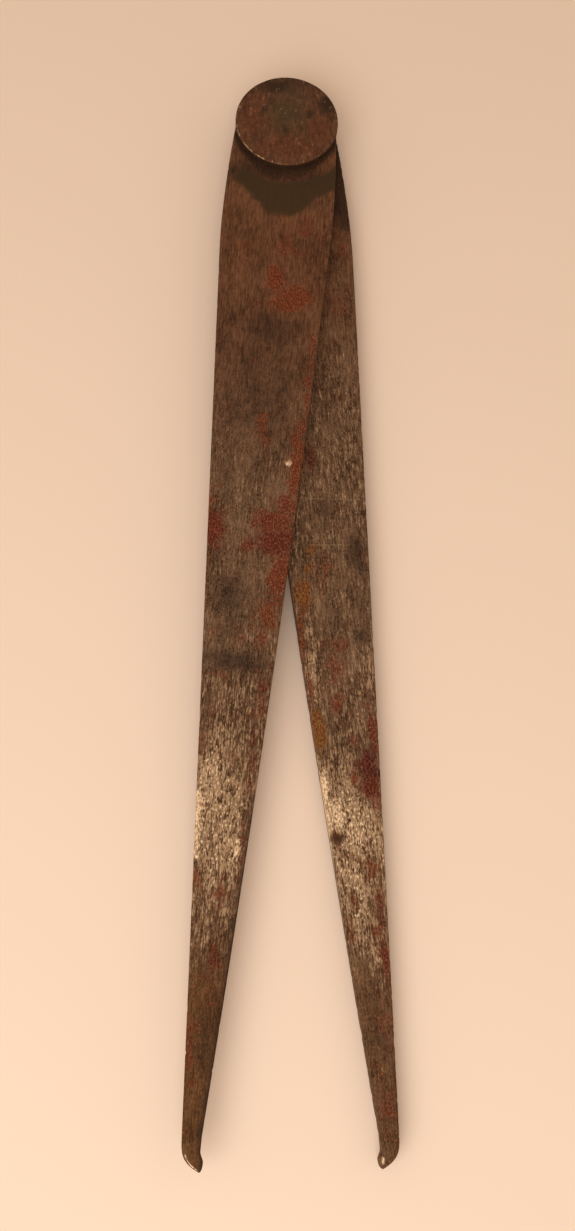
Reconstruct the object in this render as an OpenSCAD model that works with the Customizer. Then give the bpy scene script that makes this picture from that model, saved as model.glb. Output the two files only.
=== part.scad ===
// Riveted firm-joint calipers: two flat tapered steel legs, one over the other,
// held at a large round joint so tight that they stay where a hand leaves them.
// The pivot stands on the origin, +Z is up through the joint, the toes point to -Y.
// The underside of the joint lies on the plane z = 0.

/* [Leg] */
// Reach of a leg, from the pivot to the end of its toe
reach = 203.2; // [150:0.1:320]
// Thickness of a leg
leg_t = 3; // [1.5:0.1:6]
// Greatest width of a leg, across its shoulder
shoulder_w = 22.5; // [21:0.1:30]
// Distance of that shoulder from the pivot
shoulder_at = 21.5; // [15:0.5:30]
// Radius with which the shoulder runs out into the straight taper
shoulder_r = 160; // [60:5:240]
// How far the inner edge swells past a straight taper, halfway along
inner_bulge = 0.85; // [0:0.05:3]
// How much the two long edges of a leg are bevelled, on each face
edge_bevel = 0.25; // [0.05:0.05:0.6]

/* [Toe] */
// Length of the toe, where the back edge curves round to the tip
toe_len = 5.4; // [5:0.1:12]
// From the leg's axis to its back edge, where the toe starts
toe_back = 1; // [0.8:0.05:5]
// From the leg's axis to its inner edge, where the toe starts
toe_front = 2.35; // [1:0.05:4]
// How far the nib stands in from the inner edge
nib_out = 0.6; // [0:0.05:2]
// Length of the nib, from its throat to the tip
nib_len = 3.2; // [2.5:0.1:4.8]
// Width of the rounded tip
tip_w = 0.55; // [0.3:0.05:1]
// Length of the rounded tip, from the end of the leg to the face of the nib
tip_len = 1.4; // [0.6:0.1:2.2]
// How much the curved back of the toe is bevelled where it is broadest, on each face
toe_bevel = 0.6; // [0.1:0.05:0.7]

/* [Joint] */
// Angle between the axes of the two legs
opening = 10.1; // [0:0.1:180]
// Diameter of the two joint discs
disc_d = 21.2; // [16:0.1:30]
// How far the round head of a leg stops short of the rim of a disc
head_inset = 0.2; // [0:0.1:2]
// Thickness of a joint disc
disc_t = 1.5; // [0.8:0.1:4]
// Radius of the worn outer rim of a joint disc
disc_edge_r = 0.4; // [0.1:0.05:0.7]
// Diameter of the rivet's shank
rivet_d = 6; // [3:0.1:7.5]
// Diameter of the rivet's flush ends
rivet_head_d = 8; // [6.5:0.1:14]
// Thickness of a friction washer
washer_t = 0.25; // [0.1:0.05:1]
// How far a friction washer stops short of the rim of a disc
washer_inset = 0.6; // [0.2:0.1:3]

/* [Fits] */
// Radial play between the rivet and the bore of a leg
leg_play = 0.05; // [0.02:0.01:0.1]
// Radial play between the rivet and a friction washer
washer_play = 0.1; // [0.05:0.05:0.4]
// Film of oil on each face of the leg that turns
film = 0.02; // [0.01:0.01:0.05]

/* [Hidden] */
$fn = 96;

STEEL = [0.36, 0.30, 0.26];
WORN_STEEL = [0.44, 0.38, 0.33];
BRASS = [0.72, 0.56, 0.28];

// Diameter of the round head of a leg
head_d = disc_d - 2 * head_inset;

// Heights of the stack, from the table up
lower_washer_z = disc_t;
lower_leg_z = lower_washer_z + washer_t;
middle_washer_z = lower_leg_z + leg_t;
upper_leg_z = middle_washer_z + washer_t + film;
upper_washer_z = upper_leg_z + leg_t + film;
upper_disc_z = upper_washer_z + washer_t;
stack_h = upper_disc_z + disc_t;

// Points used for each round stretch of a leg's outline
HEAD_STEPS = 24;
SHOULDER_STEPS = 6;
EDGE_STEPS = 10;
TOE_STEPS = 10;
TIP_STEPS = 6;
NIB_STEPS = 6;

// A leg is drawn with its head on the origin, its axis along -Y and its nib on +X.
// Distances from the pivot count down the leg.
toe_at = reach - toe_len;
tip_from = reach - tip_len;

// Half width beside the joint, from the head's widest place out to the shoulder
function neck_half(d) =
    shoulder_w / 2 - (shoulder_w - head_d) / 2 * pow(1 - d / shoulder_at, 2);

// Half width past the shoulder, on an arc drawn as its parabola
function shoulder_half(d) =
    shoulder_w / 2 - pow(d - shoulder_at, 2) / (2 * shoulder_r);

// Where that arc turns into the straight line that ends `half` from the axis
function taper_from(half) =
    let (run = toe_at - shoulder_at,
         fall = shoulder_w / 2 - half)
    shoulder_at + run - sqrt(run * run - 2 * shoulder_r * fall);

// Half width along the taper, with `bulge` added halfway
function taper_half(d, half, bulge) =
    let (from = taper_from(half),
         s = (d - from) / (toe_at - from))
    (1 - s) * shoulder_half(from) + s * half + bulge * 4 * s * (1 - s);

// The edge from the joint to the toe, as [half width, distance] pairs
function long_edge(half, bulge) = concat(
    [for (i = [0 : SHOULDER_STEPS])
        let (d = shoulder_at * i / SHOULDER_STEPS) [neck_half(d), d]],
    [for (i = [1 : SHOULDER_STEPS])
        let (d = shoulder_at + (taper_from(half) - shoulder_at) * i / SHOULDER_STEPS)
        [shoulder_half(d), d]],
    [for (i = [1 : EDGE_STEPS])
        let (from = taper_from(half), d = from + (toe_at - from) * i / EDGE_STEPS)
        [taper_half(d, half, bulge), d]]
);

// Round the head, from the inner edge over the top to the back edge
function head_arc() =
    [for (i = [1 : HEAD_STEPS - 1])
        let (a = 180 * i / HEAD_STEPS)
        [head_d / 2 * cos(a), head_d / 2 * sin(a)]];

// The back of the toe carries on along the taper and bends in by a fourth power
tip_x = toe_front + nib_out - tip_w;
back_slope = (shoulder_half(taper_from(toe_back)) - toe_back)
    / (toe_at - taper_from(toe_back));
function toe_curve() =
    [for (i = [1 : TOE_STEPS])
        let (s = i / TOE_STEPS,
             run_in = back_slope * toe_len)
        [-toe_back + run_in * s + (tip_x + toe_back - run_in) * pow(s, 4),
         -toe_at - toe_len * s]];

// The tip, a quarter of a narrow ellipse from the end of the leg to the face of the nib
function tip_arc() =
    [for (i = [1 : TIP_STEPS])
        let (a = -90 + 90 * i / TIP_STEPS)
        [tip_x + tip_w * cos(a), -tip_from + tip_len * sin(a)]];

// The hollow between nib and leg, half a cosine wave
function nib_hollow() =
    [for (i = [1 : NIB_STEPS])
        let (s = i / NIB_STEPS)
        [toe_front + nib_out * (1 + cos(180 * s)) / 2,
         -tip_from + (nib_len - tip_len) * s]];

back_edge = long_edge(toe_back, 0);
inner_edge = long_edge(toe_front, inner_bulge);

// The whole outline, anticlockwise, from the head down the back edge
leg_outline = concat(
    [for (p = back_edge) [-p[0], -p[1]]],
    toe_curve(),
    tip_arc(),
    nib_hollow(),
    [for (i = [len(inner_edge) - 1 : -1 : 0]) [inner_edge[i][0], -inner_edge[i][1]]],
    head_arc()
);

// The bevel at the end of the leg leaves a little of the rounded tip standing
end_bevel = min(edge_bevel, 0.8 * tip_w * tip_w / tip_len);

// Bevel at a point: fine along the leg, finer at the tip, and broad on the toe's back
function bevel_at(p) =
    let (s = min(1, max(0, (-p[1] - toe_at) / toe_len)),
         hump = p[0] < min(toe_front, tip_x) ? 4 * s * (1 - s) : 0)
    edge_bevel + (end_bevel - edge_bevel) * s + (toe_bevel - edge_bevel) * hump;

function unit(v) = v / norm(v);

// Unit vector that points into the outline at point i
function inward(points, i) =
    let (n = len(points),
         ahead = unit(points[(i + 1) % n] - points[i]),
         behind = unit(points[i] - points[(i + n - 1) % n]))
    unit([-ahead[1] - behind[1], ahead[0] + behind[0]]);

// One ring of the blank: the outline moved in by `share` of its bevel
function ring(points, z0, dz, share) =
    [for (i = [0 : len(points) - 1])
        let (p = points[i],
             q = p + inward(points, i) * bevel_at(p) * share)
        [q[0], q[1], z0 + dz * bevel_at(p)]];

// A closed solid through rings with the same number of points
module skin(rings) {
    n = len(rings[0]);
    last = len(rings) - 1;
    polyhedron(
        points = [for (r = rings) each r],
        faces = concat(
            [[for (i = [0 : n - 1]) i]],
            [for (k = [0 : last - 1], i = [0 : n - 1])
                let (j = (i + 1) % n)
                each [[k * n + i, k * n + n + i, k * n + n + j],
                      [k * n + i, k * n + n + j, k * n + j]]],
            [[for (i = [n - 1 : -1 : 0]) last * n + i]]
        )
    );
}

// A leg with its underside on z = 0 and its nib on the +X side
module leg() {
    difference() {
        skin([ring(leg_outline, 0, 0, 1),
              ring(leg_outline, 0, 1, 0),
              ring(leg_outline, leg_t, -1, 0),
              ring(leg_outline, leg_t, 0, 1)]);
        translate([0, 0, -leg_t])
            cylinder(h = 3 * leg_t, d = rivet_d + 2 * leg_play);
    }
}

// A joint disc with its outer face up, countersunk for the end of the rivet
module joint_disc() {
    rotate_extrude() {
        difference() {
            union() {
                square([disc_d / 2 - disc_edge_r, disc_t]);
                square([disc_d / 2, disc_t - disc_edge_r]);
                translate([disc_d / 2 - disc_edge_r, disc_t - disc_edge_r])
                    circle(r = disc_edge_r);
            }
            polygon([[0, 0], [rivet_d / 2, 0], [rivet_head_d / 2, disc_t], [0, disc_t]]);
        }
    }
}

// A thin ring between two faces that rub
module friction_washer() {
    difference() {
        cylinder(h = washer_t, d = disc_d - 2 * washer_inset);
        translate([0, 0, -washer_t])
            cylinder(h = 3 * washer_t, d = rivet_d + 2 * washer_play);
    }
}

module lower_disc() {
    color(STEEL) translate([0, 0, disc_t]) rotate([180, 0, 0]) joint_disc();
}

module lower_washer() {
    color(BRASS) translate([0, 0, lower_washer_z]) friction_washer();
}

module lower_leg() {
    color(WORN_STEEL) translate([0, 0, lower_leg_z])
        rotate([0, 0, opening / 2]) mirror([1, 0, 0]) leg();
}

module middle_washer() {
    color(BRASS) translate([0, 0, middle_washer_z]) friction_washer();
}

module upper_leg() {
    color(WORN_STEEL) translate([0, 0, upper_leg_z])
        rotate([0, 0, -opening / 2]) leg();
}

module upper_washer() {
    color(BRASS) translate([0, 0, upper_washer_z]) friction_washer();
}

module upper_disc() {
    color(STEEL) translate([0, 0, upper_disc_z]) joint_disc();
}

// The rivet's ends are spread into the countersinks and dressed flush with the discs
module rivet() {
    color(STEEL) rotate_extrude()
        polygon([[0, 0], [rivet_head_d / 2, 0], [rivet_d / 2, disc_t],
                 [rivet_d / 2, stack_h - disc_t], [rivet_head_d / 2, stack_h],
                 [0, stack_h]]);
}

lower_disc();
lower_washer();
lower_leg();
middle_washer();
upper_leg();
upper_washer();
upper_disc();
rivet();
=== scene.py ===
# %% [markdown]
# # Riveted firm-joint calipers
# The tool is two flat steel legs, one over the other, held at a round riveted joint
# so tight that they stay where a hand leaves them. The CAD model has every piece at its
# real size. This lesson builds the worn surfaces around it: long legs browned by oil and
# rust, rubbed bright where hands and work touched them. We load the model first, and keep
# its box, because nothing that we add may be larger than the real thing.

import math

import bmesh
import bpy
import numpy as np
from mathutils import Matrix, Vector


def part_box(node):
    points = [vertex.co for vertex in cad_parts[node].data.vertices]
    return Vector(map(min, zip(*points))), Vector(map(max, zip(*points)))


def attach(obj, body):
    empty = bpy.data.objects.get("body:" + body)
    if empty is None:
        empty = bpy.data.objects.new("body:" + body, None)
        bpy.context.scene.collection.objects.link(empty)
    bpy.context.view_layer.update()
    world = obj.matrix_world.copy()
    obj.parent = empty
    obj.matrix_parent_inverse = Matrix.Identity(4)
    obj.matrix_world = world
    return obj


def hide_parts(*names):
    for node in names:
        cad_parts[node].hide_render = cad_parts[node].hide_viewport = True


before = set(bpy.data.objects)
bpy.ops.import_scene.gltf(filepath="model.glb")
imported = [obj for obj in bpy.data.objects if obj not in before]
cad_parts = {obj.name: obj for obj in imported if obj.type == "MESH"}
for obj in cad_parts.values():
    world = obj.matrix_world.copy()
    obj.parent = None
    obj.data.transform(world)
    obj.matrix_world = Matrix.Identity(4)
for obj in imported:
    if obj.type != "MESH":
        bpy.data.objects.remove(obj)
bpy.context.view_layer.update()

# %% [markdown]
# ## Camera
# The photograph was taken by hand from above the toes, looking a little up the tool. The
# camera's place and turn were fitted to the edges of the joint and the two legs, so they
# are plain numbers here. The lens is written for a frame 1231 pixels high.

# %% Camera
MM = 0.001
CAMERA_PLACE = (-12.635 * MM, -181.561 * MM, 256.370 * MM)
CAMERA_TURN = (0.2942, -0.0480, -0.0050)
FOCAL_PIXELS = 1400
FRAME_HEIGHT_PIXELS = 1231
SENSOR = 36

camera = bpy.data.objects.new("camera", bpy.data.cameras.new("camera"))
camera.location = CAMERA_PLACE
camera.rotation_euler = CAMERA_TURN
camera.data.sensor_width = SENSOR
camera.data.lens = SENSOR * FOCAL_PIXELS / FRAME_HEIGHT_PIXELS
camera.data.clip_start = 0.01
camera.data.clip_end = 20
bpy.context.scene.collection.objects.link(camera)
bpy.context.scene.camera = camera
bpy.context.scene.view_settings.view_transform = "Standard"
print("lens in mm:", round(camera.data.lens, 2))

# %% [markdown]
# ## Small helpers for numpy
# Worn steel is never quite even, so many steps below need smooth random hills. We make
# them from a square lattice of random heights and blend between the four nearest ones.
# The seed fixes the result, so the file gives the same tool each time it runs.

# %% Smooth noise and soft steps
LATTICE = 64


def hills(x, y, cell, seed):
    """Random heights from 0 to 1 on a lattice of the given cell, blended with 3t^2 - 2t^3."""
    heights = np.random.default_rng(seed).random((LATTICE, LATTICE))
    i, j = np.floor(x / cell).astype(int), np.floor(y / cell).astype(int)
    u, v = x / cell - i, y / cell - j
    u, v = u * u * (3 - 2 * u), v * v * (3 - 2 * v)
    i, j, i1, j1 = i % LATTICE, j % LATTICE, (i + 1) % LATTICE, (j + 1) % LATTICE
    low = heights[i, j] * (1 - u) + heights[i1, j] * u
    high = heights[i, j1] * (1 - u) + heights[i1, j1] * u
    return low * (1 - v) + high * v


def step(value, start, end):
    """0 below start, 1 above end, and the curve 3t^2 - 2t^3 between."""
    t = np.clip((value - start) / (end - start), 0, 1)
    return t * t * (3 - 2 * t)


print("hills at one point:", round(float(hills(np.array(0.3), np.array(0.7), 1, 5)), 3))

# %% [markdown]
# ## The outline of a leg
# Both legs are the same blank, one turned over. We describe the blank once, with its head
# on the origin, its axis along -Y and its nib on +X, and measure everything by the distance
# from the pivot. The width follows a short curve beside the joint, then the shoulder's arc,
# then a long straight taper. The inner edge swells a little past straight, as hand filing
# leaves it. These values repeat the CAD's driving dimensions.

# %% Driving dimensions of a leg
REACH = 203.2 * MM
SHOULDER_HALF = 11.25 * MM
SHOULDER_AT = 21.5 * MM
SHOULDER_R = 160 * MM
INNER_BULGE = 0.85 * MM
TOE_LEN = 5.4 * MM
TOE_BACK = 1.0 * MM
TOE_FRONT = 2.35 * MM
NIB_OUT = 0.6 * MM
NIB_LEN = 3.2 * MM
TIP_W = 0.55 * MM
TIP_LEN = 1.4 * MM
HALF_OPENING = math.radians(10.1) / 2
HEAD_INSET = 0.2 * MM
BORE_R = 3.05 * MM

DISC_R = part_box("upper_disc")[1].x - 0.003 * MM
HEAD_R = DISC_R - HEAD_INSET
LEG_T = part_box("upper_leg")[1].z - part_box("upper_leg")[0].z
TOE_AT = REACH - TOE_LEN
TIP_FROM = REACH - TIP_LEN
TIP_X = TOE_FRONT + NIB_OUT - TIP_W
print("disc radius and leg thickness in mm:", round(DISC_R / MM, 2), round(LEG_T / MM, 2))


# %% Width along the leg
def edge_half(d, half, bulge):
    """Half width at distance d. Beside the joint it is the shoulder's less a parabola, past
    the shoulder it falls by the square of the distance over twice the radius, and along the
    taper it is the straight line to `half` plus a parabola `bulge` high halfway."""
    run = TOE_AT - SHOULDER_AT
    start = SHOULDER_AT + run - math.sqrt(run**2 - 2 * SHOULDER_R * (SHOULDER_HALF - half))
    neck = SHOULDER_HALF - (SHOULDER_HALF - HEAD_R) * (1 - d / SHOULDER_AT) ** 2
    shoulder = SHOULDER_HALF - (d - SHOULDER_AT) ** 2 / (2 * SHOULDER_R)
    at_start = SHOULDER_HALF - (start - SHOULDER_AT) ** 2 / (2 * SHOULDER_R)
    s = (d - start) / (TOE_AT - start)
    taper = (1 - s) * at_start + s * half + 4 * bulge * s * (1 - s)
    return np.where(d < SHOULDER_AT, neck, np.where(d < start, shoulder, taper))


RUN_IN = TOE_LEN * float(edge_half(np.array(TOE_AT - MM), TOE_BACK, 0) - TOE_BACK) / MM


def back_edge(d):
    """The back edge. Past the toe's start the taper's line goes on, plus a fourth power of
    the way to the tip, which bends it in."""
    s = np.clip((d - TOE_AT) / TOE_LEN, 0, 1)
    toe = -TOE_BACK + RUN_IN * s + (TIP_X + TOE_BACK - RUN_IN) * s**4
    return np.where(d < TOE_AT, -edge_half(d, TOE_BACK, 0), toe)


def inner_edge(d):
    """The inner edge, a straight stretch, and half a cosine wave out to the nib."""
    s = np.clip((TIP_FROM - d) / (NIB_LEN - TIP_LEN), 0, 1)
    nib = TOE_FRONT + NIB_OUT * (1 + np.cos(math.pi * s)) / 2
    return np.where(d < TOE_AT, edge_half(d, TOE_FRONT, INNER_BULGE), nib)


for mark in (0, 21.5, 100, 200):
    width = float(inner_edge(np.array(mark * MM)) - back_edge(np.array(mark * MM)))
    print("width at", mark, "mm:", round(width / MM, 2))

# %% [markdown]
# ## A leg as a profile carried along its outline
# A grid needs two parameters. One runs round the outline, and the other runs along the
# profile: from the middle of the top face out to the edge, over a rounded corner, down the
# wall, and back in under the leg. Rays join each point of the outline to a spine, so the
# rings lie close together at the edges, where the wear is, and the bore closes by itself.

# %% Points round the outline and their partners on the spine
FAN_END = 8 * MM
SPINE_JOINS = 30 * MM
SIDE_STEP = 0.5 * MM
HEAD_STEPS = 64
CAP_STEPS = 12


def outline_and_spine():
    """Outline points anticlockwise from the head's right side, and for each the spine point:
    on the bore's circle beside the joint, and on the middle line further down."""
    near = np.linspace(0, FAN_END, 24)
    long = np.arange(FAN_END + SIDE_STEP, TOE_AT, SIDE_STEP)
    toe = TIP_FROM - (TIP_FROM - TOE_AT) * np.linspace(1, 0, 22) ** 1.4
    d = np.concatenate([near, long, toe])
    turn = math.pi / 2 * np.clip(d / FAN_END, 0, 1)
    joined = np.clip((d - FAN_END) / (SPINE_JOINS - FAN_END), 0, 1)
    middle = (inner_edge(d) + back_edge(d)) / 2 * joined
    down = np.where(d < SPINE_JOINS, BORE_R + (SPINE_JOINS - BORE_R) * joined, d)
    spine_x = np.where(d < FAN_END, BORE_R * np.cos(turn), middle)
    spine_y = np.where(d < FAN_END, -BORE_R * np.sin(turn), -down)
    mirror = np.where(d < FAN_END, -spine_x, spine_x)
    angle = np.linspace(0, math.pi, HEAD_STEPS + 1)[1:-1]
    head = np.stack([np.cos(angle), np.sin(angle)], 1)
    share = np.linspace(0, 1, CAP_STEPS + 1)[1:]
    cap_d = TIP_FROM + TIP_LEN * share
    back_cap = np.stack([back_edge(cap_d), -cap_d], 1)
    turn = math.pi / 2 * (share[:-1] - 1)
    tip_cap = np.stack([TIP_X + TIP_W * np.cos(turn), -TIP_FROM + TIP_LEN * np.sin(turn)], 1)
    cap = np.concatenate([back_cap, tip_cap])
    right = np.stack([inner_edge(d), -d], 1)[::-1]
    left = np.stack([back_edge(d), -d], 1)
    outline = np.concatenate([right, HEAD_R * head, left, cap])
    spine = np.concatenate([np.stack([spine_x, spine_y], 1)[::-1], BORE_R * head,
                            np.stack([mirror, spine_y], 1),
                            np.repeat([[spine_x[-1], spine_y[-1]]], len(cap), axis=0)])
    on_bore = np.hypot(*spine.T) < BORE_R * 1.001
    return outline, spine, on_bore


OUTLINE, SPINE, ON_BORE = outline_and_spine()
print("outline points:", len(OUTLINE), "of which look at the bore:", int(ON_BORE.sum()))

# %% [markdown]
# ## Wear in the shape itself
# Some wear is too large for a bump map: the faces are slightly wavy from the file, the
# corners are rubbed round and not evenly so, and small nicks eat into the edges. All of it
# takes metal away, so the leg stays inside its CAD outline. Under the joint the faces stay
# flat, because the washers rub them flat.

# %% The blank as a grid of points
FACE_RINGS = 18
CORNER_STEPS = 5
WALL_STEPS = 3
EDGE_ROUND = 0.28 * MM
TOE_ROUND = 0.6 * MM
END_ROUND = 0.8 * TIP_W**2 / TIP_LEN
NICK_DEPTH = 0.10 * MM
WAVE_DEPTH = 0.07 * MM
SKIN = 0.01 * MM


def blank_grid(seed):
    """Grid of points, outline by profile. A corner is a quarter circle, a face is a run of
    rings along the rays to the spine, and both sink by the face's random waves."""
    x, y = OUTLINE.T
    around = np.arange(len(x)) * SIDE_STEP
    ahead = np.roll(OUTLINE, -1, 0) - np.roll(OUTLINE, 1, 0)
    inward = np.stack([-ahead[:, 1], ahead[:, 0]], 1) / np.linalg.norm(ahead, axis=1)[:, None]
    toe = np.clip((-y - TOE_AT) / TOE_LEN, 0, 1)
    hump = np.where(x < min(TOE_FRONT, TIP_X), 4 * toe * (1 - toe), 0)
    corner = EDGE_ROUND * (0.7 + 0.7 * hills(around, 0 * x, 6 * MM, seed)) * (1 - toe)
    corner = corner + END_ROUND * toe + (TOE_ROUND - EDGE_ROUND) * hump
    nick = step(hills(around, 0 * x, 0.9 * MM, seed + 1), 0.72, 1) * NICK_DEPTH * (1 - toe)
    edge = OUTLINE + inward * (SKIN + nick * (np.hypot(x, y) > DISC_R))[:, None]
    face_share = np.linspace(1, 0, FACE_RINGS + 1)[:-1] ** 1.15
    face = (edge + inward * corner[:, None])[:, None] * (1 - face_share)[None, :, None]
    face = face + SPINE[:, None] * face_share[None, :, None]
    turn = np.linspace(0, math.pi / 2, CORNER_STEPS + 1)
    inset = corner[:, None] * (1 - np.sin(turn))
    drop = corner[:, None] * (1 - np.cos(turn))
    rim = edge[:, None] + inward[:, None] * inset[..., None]
    sunk = np.concatenate([np.zeros(face.shape[:2]), drop], 1)
    half = np.concatenate([face, rim], 1)
    flat = step(np.hypot(*np.moveaxis(half, 2, 0)), DISC_R, 1.6 * DISC_R)
    waves = [hills(half[..., 0], half[..., 1], 7 * MM, seed + k) * 0.6
             + hills(half[..., 0], half[..., 1], 2.6 * MM, seed + k + 1) * 0.4 for k in (2, 4)]
    top = np.dstack([half, LEG_T - sunk - WAVE_DEPTH * waves[0] * flat])
    low = np.dstack([half, sunk + WAVE_DEPTH * waves[1] * flat])[:, ::-1]
    down = np.linspace(0, 1, WALL_STEPS + 2)[1:-1][None, :, None]
    wall = top[:, -1:] * (1 - down) + low[:, :1] * down
    return np.concatenate([top, wall, low], 1)


print("grid of a leg:", blank_grid(1).shape)


# %% Faces of a grid, and a mesh from them
def grid_faces(rows, columns, wrap_rows, wrap_columns):
    """Four corners for each cell, with the last row or column joined to the first if asked."""
    i = np.arange(rows if wrap_rows else rows - 1)[:, None]
    j = np.arange(columns if wrap_columns else columns - 1)[None, :]
    i1, j1 = (i + 1) % rows, (j + 1) % columns
    cells = [i * columns + j, i1 * columns + j, i1 * columns + j1, i * columns + j1]
    return np.stack(np.broadcast_arrays(*cells), -1).reshape(-1, 4)


WELD = 0.001 * MM
SHARP_ANGLE = math.radians(38)


def make_piece(name, points, faces, attributes):
    """Mesh object with its place in its points, seams welded and faces turned outwards."""
    mesh = bpy.data.meshes.new(name)
    mesh.from_pydata(points.reshape(-1, 3).tolist(), [], faces.tolist())
    for label, values in attributes.items():
        kind, field = ("FLOAT_VECTOR", "vector") if values.shape[-1:] == (3,) else ("FLOAT", "value")
        layer = mesh.attributes.new(label, kind, "POINT")
        layer.data.foreach_set(field, values.astype(np.float32).ravel())
    work = bmesh.new()
    work.from_mesh(mesh)
    bmesh.ops.remove_doubles(work, verts=work.verts, dist=WELD)
    bmesh.ops.recalc_face_normals(work, faces=work.faces)
    volume = work.calc_volume(signed=True)
    loose_edges = sum(1 for e in work.edges if not e.is_manifold)
    work.to_mesh(mesh)
    work.free()
    mesh.shade_smooth()
    mesh.set_sharp_from_angle(angle=SHARP_ANGLE)
    piece = bpy.data.objects.new(name, mesh)
    bpy.context.scene.collection.objects.link(piece)
    triangles = sum(len(p.vertices) - 2 for p in mesh.polygons)
    print(name, "triangles", triangles, "open edges", loose_edges, "volume in mm3", round(volume / MM**3))
    return piece


# %% [markdown]
# ## Where the rust, oil and rub marks lie, and the painted shade and sheen
# The stains of an old tool are its portrait, and noise alone can't place them. So each leg
# has a short list of soft patches in its own coordinates: the distance from the pivot, the
# place across (towards the nib is plus), the reach along and across, the strength, and for
# rust its tone from yellow (0) over orange to deep red (1). They become point attributes of
# the mesh, and the materials break their borders up with fine noise later.

# %% Patches of the upper leg, in millimetres
UPPER_RUST = (
    (12.3, 0.5, 1.4, 5.0, 0.22, 0.50),
    (24.0, 6.0, 4.0, 2.6, 0.36, 0.60),
    (29.0, 2.5, 4.5, 3.5, 0.42, 0.55),
    (30.0, -6.0, 4.0, 1.6, 0.36, 0.60),
    (36.0, 0.6, 3.0, 1.8, 1.00, 0.54),
    (40.0, 5.0, 2.4, 3.2, 1.20, 0.50),
    (38.0, 4.8, 1.6, 1.7, 1.00, 0.50),
    (41.6, 3.6, 1.6, 4.0, 1.05, 0.50),
    (57.0, 9.3, 15.0, 0.9, 0.54, 0.56),
    (67.5, 1.0, 2.6, 1.2, 0.66, 0.46),
    (71.5, 2.0, 2.0, 1.1, 0.60, 0.44),
    (74.0, 8.2, 9.0, 1.5, 0.95, 0.48),
    (84.0, 7.4, 2.4, 3.0, 0.80, 0.52),
    (88.0, 5.4, 3.4, 4.8, 0.90, 0.58),
    (91.6, 6.0, 3.4, 4.2, 1.00, 0.74),
    (92.4, 0.6, 2.0, 1.6, 0.70, 0.66),
    (85.0, -8.0, 3.4, 1.7, 0.72, 0.46),
    (90.6, -6.6, 4.2, 3.2, 0.95, 0.68),
    (98.0, 7.4, 6.5, 3.0, 0.95, 0.54),
    (106.0, 5.4, 4.2, 2.2, 0.72, 0.45),
    (106.5, 2.6, 2.6, 0.9, 0.45, 0.42),
    (110.4, -4.6, 1.6, 1.2, 0.46, 0.45),
    (111.5, 1.2, 1.4, 1.4, 0.50, 0.45),
    (111.5, 5.0, 2.2, 1.6, 0.60, 0.48),
    (104.0, -6.9, 15.0, 0.8, 0.52, 0.46),
    (118.6, -2.0, 1.8, 3.6, 0.42, 0.50),
    (121.0, 5.6, 7.0, 1.6, 0.56, 0.66),
    (127.0, -3.5, 3.0, 1.2, 0.36, 0.52),
    (134.0, 1.6, 1.6, 2.4, 0.42, 0.60),
    (135.0, 4.8, 8.0, 1.0, 0.55, 0.70),
    (150.0, 4.6, 8.0, 0.6, 0.45, 0.72),
    (131.0, -4.6, 2.4, 1.2, 0.48, 0.52),
    (137.5, -4.8, 2.4, 0.9, 0.44, 0.45),
    (154.0, -3.0, 3.0, 1.4, 0.52, 0.42),
    (158.0, 1.6, 3.4, 1.4, 0.50, 0.44),
    (166.0, -4.0, 5.0, 1.4, 0.50, 0.66),
    (170.0, 1.4, 6.0, 1.6, 0.42, 0.64),
    (182.0, -2.0, 3.0, 1.4, 0.42, 0.62),
    (187.0, -1.4, 3.0, 1.4, 0.36, 0.60),
)
# The first two dark patches, just below the disc's rim, are a painted shadow of the disc.
UPPER_DARK = (
    (11.8, -9.6, 2.4, 2.2, 0.85, 0),
    (11.5, 0.0, 2.6, 11.0, 0.95, 0),
    (34.0, -3.0, 5.0, 3.0, 0.35, 0),
    (60.0, 0.0, 18.0, 11.0, 0.52, 0),
    (48.0, 1.0, 4.5, 7.0, 0.62, 0),
    (58.0, -4.0, 6.0, 4.0, 0.30, 0),
    (80.0, -5.0, 4.0, 2.4, 0.45, 0),
    (97.0, -5.5, 3.0, 1.6, 0.35, 0),
    (103.0, -1.6, 5.5, 4.2, 0.62, 0),
    (107.5, -0.6, 4.0, 3.2, 0.50, 0),
    (109.0, -3.0, 4.0, 2.6, 0.40, 0),
    (115.5, -0.6, 2.6, 7.4, 0.76, 0),
    (131.0, -4.8, 1.6, 1.4, 0.40, 0),
    (182.0, 1.0, 6.0, 1.8, 0.30, 0),
)
# The bright patches from 134 to 151 mm are partly rubbed steel and partly a painted sheen and glints of the
# lamp.
UPPER_BRIGHT = (
    (143.5, -4.2, 9.0, 1.2, 0.24, 0),
    (146.0, 0.6, 12.0, 1.0, 0.05, 0),
    (134.0, -2.0, 7.0, 3.0, 0.14, 0),
    (144.5, -4.4, 4.0, 0.8, 0.30, 0),
    (150.5, -3.4, 2.6, 1.0, 0.22, 0),
    (149.8, 3.8, 2.2, 0.9, 0.20, 0),
    (75.4, 6.9, 0.65, 0.65, 1.20, 0),
    (11.3, 3.1, 0.5, 0.9, 0.75, 0),
)

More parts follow.
